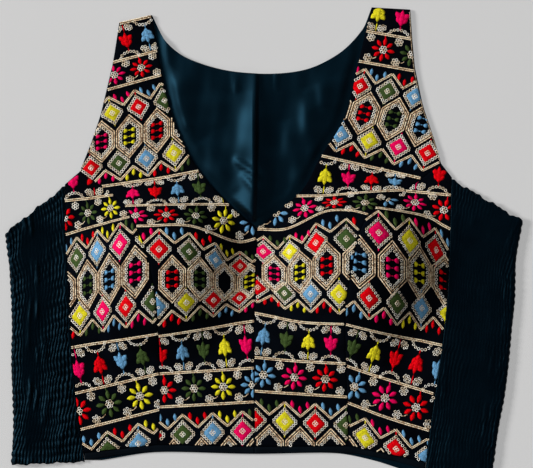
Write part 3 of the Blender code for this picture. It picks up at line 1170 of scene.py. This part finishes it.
def sewn_zari(panel, seed):
    """Each line is a few strands of slanting stitches side by side, like a flat braid."""
    chance = np.random.default_rng(seed)
    places, axes, tones = [], [], []
    for path, width, strands in panel.lines:
        keep = panel.inside(path[:, 0], path[:, 1], 0.5)
        cuts = np.flatnonzero(np.diff(keep.astype(int))) + 1
        for run, kept in zip(np.split(path, cuts), np.split(keep, cuts)):
            if len(run) < 3 or not kept[0]:
                continue
            spine, normal = panel.outer(run[:, 0], run[:, 1], np.full(len(run), 0.18))
            length = np.concatenate([[0], np.cumsum(np.linalg.norm(np.diff(spine, axis=0), axis=1))])
            at = np.arange(0.3, length[-1], STITCH_STEP)
            forward = along_run(at + 0.4, length, spine) - along_run(at - 0.4, length, spine)
            forward /= np.maximum(np.linalg.norm(forward, axis=1, keepdims=True), 1e-6)
            up = along_run(at, length, normal)
            sideways = np.cross(up, forward)
            pitch = width / strands
            # The single rows are thinner thread, tarnished darker than the braids
            fill, tone = (0.42, (0.2, 1.0)) if strands > 1 else (0.36, (0.0, 0.8))
            for strand in range(strands):
                slant = (0.26 if strand % 2 else -0.26) + chance.normal(0, 0.08, len(at))[:, None]
                along = forward * np.cos(slant) - sideways * np.sin(slant)
                across = np.cross(up, along)
                aside = sideways * pitch * (strand - (strands - 1) / 2)
                places.append(along_run(at, length, spine) + aside)
                axes.append(np.stack([along * STITCH_LENGTH / 2, across * pitch * fill, up * 0.42], 1))
                # Each stitch's shade is partly the thread's own uneven tone, partly painted glints and
                # painted shade
                tones.append(chance.uniform(*tone, len(at)))
    places, axes, tones = np.concatenate(places), np.concatenate(axes), np.concatenate(tones)
    name = panel.name.replace("front", "zari")
    return stamped(name, GRAIN, ZARI, places, axes, tones[:, None, None])


def front_panels():
    """The four front panels, as data."""
    made = []
    for half in ("left", "right"):
        side, princess, centre = seam_heights(half)
        edges = (edge_along(PRINCESS_SEAM[half], ARMHOLE[half]), edge_along(CENTRE_FRONT, NECK[half]))
        bottoms, tops = (princess, centre), (ARMHOLE[half][-1][0], NECK[half][-1][0])
        corners = ((NECK[half][0][0], centre, tops[1]), (ARMHOLE[half][0][0], princess, tops[0]))
        turn = slice(None) if half == "left" else slice(None, None, -1)
        made.append(Panel(f"front_centre_{half}", edges[turn], bottoms[turn], tops[turn], corners))
        seam_top = SIDE_SEAM[half][-1]
        underarm = (seam_top, ARMHOLE[half][0])
        edges = (edge_along(SIDE_SEAM[half], underarm), edge_along(PRINCESS_SEAM[half], ARMHOLE[half]))
        bottoms, tops = (side, princess), (seam_top[0], ARMHOLE[half][0][0] - GAP)
        made.append(Panel(f"front_side_{half}", edges[turn], bottoms[turn], tops[turn], ()))
    return made


# ---------------------------------------------------------------- back, sides and hem


def back_relief(x, y):
    """Height of the back's inside: it is only free to rise where the neck leaves it bare."""
    left, right = (
        edge_along(((-200, out), NECK[half][0]), NECK[half])(y)
        for half, out in (("left", -200), ("right", 200))
    )
    free = ease(np.minimum(x - left - 1.5, right - 1.5 - x) / 9) * ease((y - 9) / 10)
    rise = creases(BACK_CREASES, x, y)
    off = x - TUCK_X - 0.02 * (y - 80)
    step = ease(off / TUCK_DROP)
    climb = TUCK_RISE * np.log1p(np.exp(6 * (1 + np.minimum(off, 0) / TUCK_RUN))) / 6
    valley = -TUCK_VALLEY * np.exp(-(((off - 22) / 14) ** 2))
    tuck = (1 - step) * climb + step * valley
    rise = 1.5 * rise + tuck * (0.3 + 0.7 * ease((146 - y) / 40))
    uneven = 0.9 * clouds(x, 0.6 * y, 7.0, 3) + 0.28 * clouds(x, y, 2.6, 4)
    return BACK_THICKNESS + free * np.maximum(rise + 2.4 + uneven, 0.05)


def back_rim():
    """Corners of the back's upper edge: up one armhole, over the shoulders, down the other."""
    left, right = ([(x, y) for y, x in (SIDE_SEAM[half][-1], *ARMHOLE[half])] for half in ("left", "right"))
    return [*left, BACK_NECK[0], BACK_NECK[-1], *right[::-1]]


def back_top(x):
    """Height of the back's upper edge: straight from corner to corner, and scooped at the neck."""
    straight = np.interp(x, *zip(*back_rim()))
    return np.where((x > BACK_NECK[0][0]) & (x <= BACK_NECK[-1][0]), smooth(BACK_NECK, x), straight)


def back_shell():
    """The back as one grid: columns of points, each from the hem to the upper edge."""
    rim = [x for x, _ in back_rim()]
    arm = len(ARMHOLE["left"])
    knots = [*rim[:2], *rim[arm:arm + 4], *rim[-2:]]
    columns = [
        np.linspace(start, end, max(3, int(abs(end - start) / BACK_COLUMN)), endpoint=False)
        for start, end in zip(knots, knots[1:])
    ]
    columns = np.unique(np.concatenate(columns + [[knots[-1]]]))[None, :]
    levels = crowded(BACK_ROWS, (0.0, 0.002, 0.006))[:, None]
    hem = smooth(HEM, np.clip(columns, HEM[0][0], HEM[-1][0]))
    y = between(hem, back_top(columns), levels)
    # Below the arms the side seams draw in towards the hem, and the columns follow them
    seams = [
        smooth(SIDE_SEAM[half], np.minimum(y, SIDE_SEAM[half][-1][0])) + inward * SEAM_GAP / 2
        for half, inward in (("left", 1), ("right", -1))
    ]
    across = (columns - knots[0]) / (knots[-1] - knots[0])
    under_arm = ease((UNDERARM - y) / 60)
    x = between(columns + np.zeros_like(y), between(*seams, across), under_arm)
    x = np.where(y < UNDERARM, np.clip(x, *seams), x)
    top, bottom = (np.stack([x, y, height], -1) for height in (back_relief(x, y), np.zeros_like(x)))
    return slab("back_lining", top, bottom, LINING)


def rib_relief(across, along, level, seed):
    """Relief of a shirred side's ribs and folds, and how far its cells bulge at the outer fold."""
    chance = np.random.default_rng(seed)
    phases = chance.uniform(0, 2 * pi, 8)
    drift = 1.7 * clouds(across, along, 13.0, seed) + 0.7 * clouds(across, along, 4.0, seed + 1)
    # Each row of cells between two elastics has ribs a little to one side of its neighbours' ribs
    row_wave = 0.8 * np.sin(across / 11 + phases[6]) + 0.5 * np.sin(across / 4.3 + phases[7])
    cell = (along + row_wave) / ELASTIC_STEP
    steps = np.arange(-4, 44)
    jogs = chance.uniform(-1, 1, (len(steps), 2))
    jog_here, jog_across = (np.interp(cell - 0.5, steps, jogs[:, column]) for column in (0, 1))
    stagger = 1.1 * jog_here + 2.2 * jog_across * np.sin(across / 5.5 + jog_here * 2)
    bend = 0.6 * np.sin(pi * cell + 1.6 * np.sin(across / 5.2 + phases[5]))
    ribs = np.sin(2 * pi * (across + drift) / RIB_PITCH + stagger + bend)
    fine = 0.3 * np.sin(2 * pi * (across - drift * 0.7) / (RIB_PITCH * 0.57) + phases[2] - stagger)
    puff = np.sin(pi * (cell - np.floor(cell))) ** 0.7
    # Ribs are strong by the seam, by the fold and low down, and die away in patches between them
    from_seam = across[:, -1:] - across
    from_fold = across - across[:, OVER:OVER + 1]
    low_down = ease((0.75 - level) / 0.5)
    swing = 0.12 + 0.3 * clouds(across, along, 11.0, seed + 2) + 0.2 * low_down
    swing = swing + (0.4 + 0.35 * low_down) * np.exp(-((from_seam / 18) ** 2))
    swing = swing + 0.9 * np.exp(-((from_fold / 7) ** 2))
    swing = np.maximum(swing + 0.9 * np.exp(-((from_seam / 26) ** 2)) * ease((level - 0.86) / 0.1), 0.06)
    relief = RIB_RISE * swing * (0.3 + 0.7 * puff) * (ribs + fine)
    relief -= ELASTIC_PINCH * (1 - puff) * np.minimum(swing, 1)
    long_folds = 0
    for number, (place, sway, long, width, rise) in enumerate(LONG_FOLDS):
        off = across - place * across.max() - sway * np.sin(along / long + 9 * place)
        broken = np.clip(0.25 + clouds(0.3 * across, along, 7.0, seed + 5 + number), 0, 1.2)
        long_folds = long_folds + rise * np.exp(-((off / width) ** 2)) * broken
    bulge = SCALLOP * puff**2 * (1 + 0.5 * np.sin(along / 9 + phases[3])) + 0.35 * np.sin(along / 13 + 1)
    return relief + long_folds, bulge


def shirred_shell(half, seed):
    """A shirred side: a flat U of cloth, ribbed along its length and pinched by rows of elastic."""
    seam, fold = SIDE_SEAM[half], SIDE_FOLD[half]
    outward = -1 if half == "left" else 1
    wall = SHIRRED_THICKNESS / 2
    turn = (FOLD_HEIGHT - SHIRRED_THICKNESS) / 2
    level = np.linspace(0, 1, SHIRRED_ROWS)[:, None]
    under, bend = (np.linspace(0, 1, count, endpoint=False)[None] for count in (UNDER_COLUMNS, BEND_COLUMNS))
    over = np.linspace(1, 0, OVER_COLUMNS)[None]
    seam_low, seam_high = seam[0][0] - SHIRRED_DROP, seam[-1][0] - SHIRRED_DROP
    seam_y = between(seam_low, seam_high, level)
    fold_y = between(fold[0][0], fold[-1][0], level)
    seam_x = smooth(seam, seam_y) + outward * SEAM_GAP / 2
    reach = np.abs(smooth(fold, fold_y) - seam_x) - turn - wall
    seam_height = REST_HEIGHT + FRONT_THICKNESS - wall + dome(seam_x, seam_y)
    # How far out from the seam each point lies, and how high
    out = np.concatenate([reach * under, reach + turn * np.sin(pi * bend), reach * over], 1)
    height = np.concatenate([
        wall + 0 * reach * under,
        wall + turn * (1 - np.cos(pi * bend)) + 0 * reach,
        between(seam_height, FOLD_HEIGHT - wall, ease(over)),
    ], 1)
    # The top and bottom edges are uneven, where the gathers end
    ends = 0.7 * np.sin(out / 3.1 + seed) + 0.55 * np.sin(out / 1.7) + 0.45 * np.sin(out / 0.9)
    ends = ends * (ease((level - 0.94) / 0.06) + 0.6 * ease((0.05 - level) / 0.05)) * ease(out / 3)
    y = between(seam_y, fold_y, out / (reach + turn)) + ends
    mid = np.stack([seam_x + outward * out, y, height], -1)
    # Lengths across and along the panel, for ribs and elastic rows of one size all over it
    steps = np.cumsum(np.hypot(np.diff(out), np.diff(height)), 1)
    across = np.concatenate([np.zeros((SHIRRED_ROWS, 1)), steps], 1)
    along = level * (seam_high - seam_low) + 0 * across
    relief, bulge = rib_relief(across, along, level, seed)
    # The relief fades out on the underside, and towards the seam
    facing = np.concatenate([0.12 * under, 0.12 + 0.88 * bend, np.ones_like(over)], 1)
    near_seam = ease(out / 3.0)
    near_seam[:, :OVER] = 1
    relief = relief * facing * near_seam * SIDE_RELIEF[half]
    relief[:, UNDER_COLUMNS:OVER] += bulge[:, UNDER_COLUMNS:OVER] * np.sin(pi * bend)
    normal = np.cross(np.gradient(mid, axis=1), np.gradient(mid, axis=0)) * -outward
    normal /= np.linalg.norm(normal, axis=2, keepdims=True)
    outer = mid + normal * (wall + relief)[..., None]
    inner = mid - normal * (wall * 0.6)
    outer[..., 2] = np.maximum(outer[..., 2], 0)
    inner[..., 2] = np.maximum(inner[..., 2], 0.05)
    return slab(f"shirring_{half}", outer[:, ::-outward], inner[:, ::-outward], CRINKLE)


def hem_shell(half):
    """The hem band: a strip with rounded edges and a row of stitches along its middle."""
    heights = [height - GAP for height in seam_heights(half)]
    seams = (SIDE_SEAM[half], PRINCESS_SEAM[half], CENTRE_FRONT)
    tops = sorted(zip([float(smooth(seam, height)) for seam, height in zip(seams, heights)], heights))
    feet = sorted(seam[0][1] for seam in seams)
    x = np.linspace(feet[0] + SEAM_GAP / 2, feet[-1] - SEAM_GAP / 2, 100)[None, :]
    top = np.interp(x, [place for place, _ in tops], [height for _, height in tops])
    level = np.array([0, 0.04, 0.12, 0.24, 0.36, 0.44, 0.5, 0.58, 0.7, 0.82, 0.92, 0.97, 1.0])[:, None]
    y = between(smooth(HEM, x), top, level)
    x = x + np.zeros_like(y)
    foot, head = (0.45 + 0.55 * (1 - np.exp(-off / 0.12)) for off in (level, 1 - level))
    round_edge = foot * head
    stitch = 0.28 * np.exp(-(((level - 0.42) / 0.07) ** 2)) * (0.6 + 0.4 * np.cos(x * 2 * pi / 3.4))
    under = front_under(x, y)
    outer = np.stack([x, y, under + HEM_THICKNESS * round_edge - stitch], -1)
    return slab(f"hem_cloth_{half}", outer, np.stack([x, y, under], -1), HEM_CLOTH)


# ---------------------------------------------------------------- stage


# Lights far enough off to fall evenly: azimuth from +X, elevation, size in metres, watts, colour
LIGHT_DISTANCE = 10.0
LIGHTS = {
    "key": (166, 30, 3.0, 1300, (1.0, 0.985, 0.975)),
    "fill_right": (20, 48, 5.0, 50, (1.0, 0.93, 0.85)),
    "fill_low": (-85, 50, 5.0, 95, (1.0, 0.97, 0.94)),
    "fill_high": (90, 55, 5.0, 155, (0.95, 0.98, 1.0)),
}
FLOOR_REACH = 4.0
FLOOR_LEVEL = -0.0002
FLOOR_GREYS = (0.295, 0.305)

# The camera looks straight down: its height, the width that it sees on the floor and the middle of it
CAMERA_HEIGHT = 4.0
SENSOR_WIDTH = 36.0
VIEW_WIDTH = 0.4584
VIEW_CENTRE = (0.0022, 0.0069)


def place_in_scene(name, data, location=(0, 0, 0)):
    """A new object in the scene."""
    made = bpy.data.objects.new(name, data)
    made.location = location
    bpy.context.scene.collection.objects.link(made)
    return made


def area_light(name, azimuth, elevation, size, power, colour):
    """A round lamp that points at the middle of the blouse."""
    light = bpy.data.lights.new(name, "AREA")
    light.shape = "DISK"
    light.size = size
    light.energy = power
    light.color = colour
    turn, tilt = radians(azimuth), radians(elevation)
    place = LIGHT_DISTANCE * Vector((cos(turn) * cos(tilt), sin(turn) * cos(tilt), sin(tilt)))
    place_in_scene(name, light, place).rotation_euler = (-place).to_track_quat("-Z", "Y").to_euler()


def floor():
    """Pale paper that glows a little, like a light table, so that shadows on it stay pale."""
    corners = ((-1, -1), (1, -1), (1, 1), (-1, 1))
    mesh = bpy.data.meshes.new("floor")
    points = [(x * FLOOR_REACH, y * FLOOR_REACH, FLOOR_LEVEL) for x, y in corners]
    mesh.from_pydata(points, [], [(0, 1, 2, 3)])
    paper = Finish(
        "floor_paper", Roughness=0.9, Specular_IOR_Level=0.0,
        Emission_Color=(1, 1, 1, 1), Emission_Strength=0.32,
    )
    low, high = FLOOR_GREYS
    paper.colour(paper.noise(paper.place(), 3.0), ((0.3, (low,) * 3), (0.7, (high,) * 3)))
    mesh.materials.append(paper.material)
    place_in_scene("floor", mesh)


def studio():
    """A dim sky, and the lamps."""
    world = bpy.data.worlds.new("studio")
    world.use_nodes = True
    background = world.node_tree.nodes["Background"]
    background.inputs["Color"].default_value = (0.92, 0.96, 1.0, 1)
    background.inputs["Strength"].default_value = 0.07
    bpy.context.scene.world = world
    for name, row in LIGHTS.items():
        area_light(name, *row)
    bpy.context.scene.view_settings.view_transform = "Standard"


def camera():
    """The camera, straight over the blouse."""
    lens = bpy.data.cameras.new("camera")
    lens.sensor_width = SENSOR_WIDTH
    lens.lens = SENSOR_WIDTH * CAMERA_HEIGHT / VIEW_WIDTH
    bpy.context.scene.camera = place_in_scene("camera", lens, (*VIEW_CENTRE, CAMERA_HEIGHT))


def settle(piece):
    """Puts a piece on the blouse's one body."""
    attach(piece, "root")
    return piece


def main():
    """Sets the stage, then makes the back, the fronts with their embroidery, the sides and the hem."""
    camera()
    floor()
    studio()
    back = settle(back_shell())
    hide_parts("back_panel")
    for number, panel in enumerate(front_panels()):
        embroider(panel)
        grid = FRONT_GRIDS[panel.name.split("_")[1]]
        cloth = settle(panel.shell(*grid))
        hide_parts(panel.name)
        threads = Stitching()
        sewn_lobes(panel, threads)
        sewn_diamonds(panel, threads)
        floss = threads.piece(panel.name.replace("front", "floss"), THREADS)
        sewn_on = [floss, sewn_sequins(panel, SEQUIN_SEED + number), sewn_zari(panel, ZARI_SEED + number)]
        [settle(piece) for piece in sewn_on]
    for number, half in enumerate(("left", "right")):
        side = settle(shirred_shell(half, RIB_SEED + number))
        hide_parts(f"shirred_side_{half}")
        hem = settle(hem_shell(half))
        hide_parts(f"hem_band_{half}")


main()
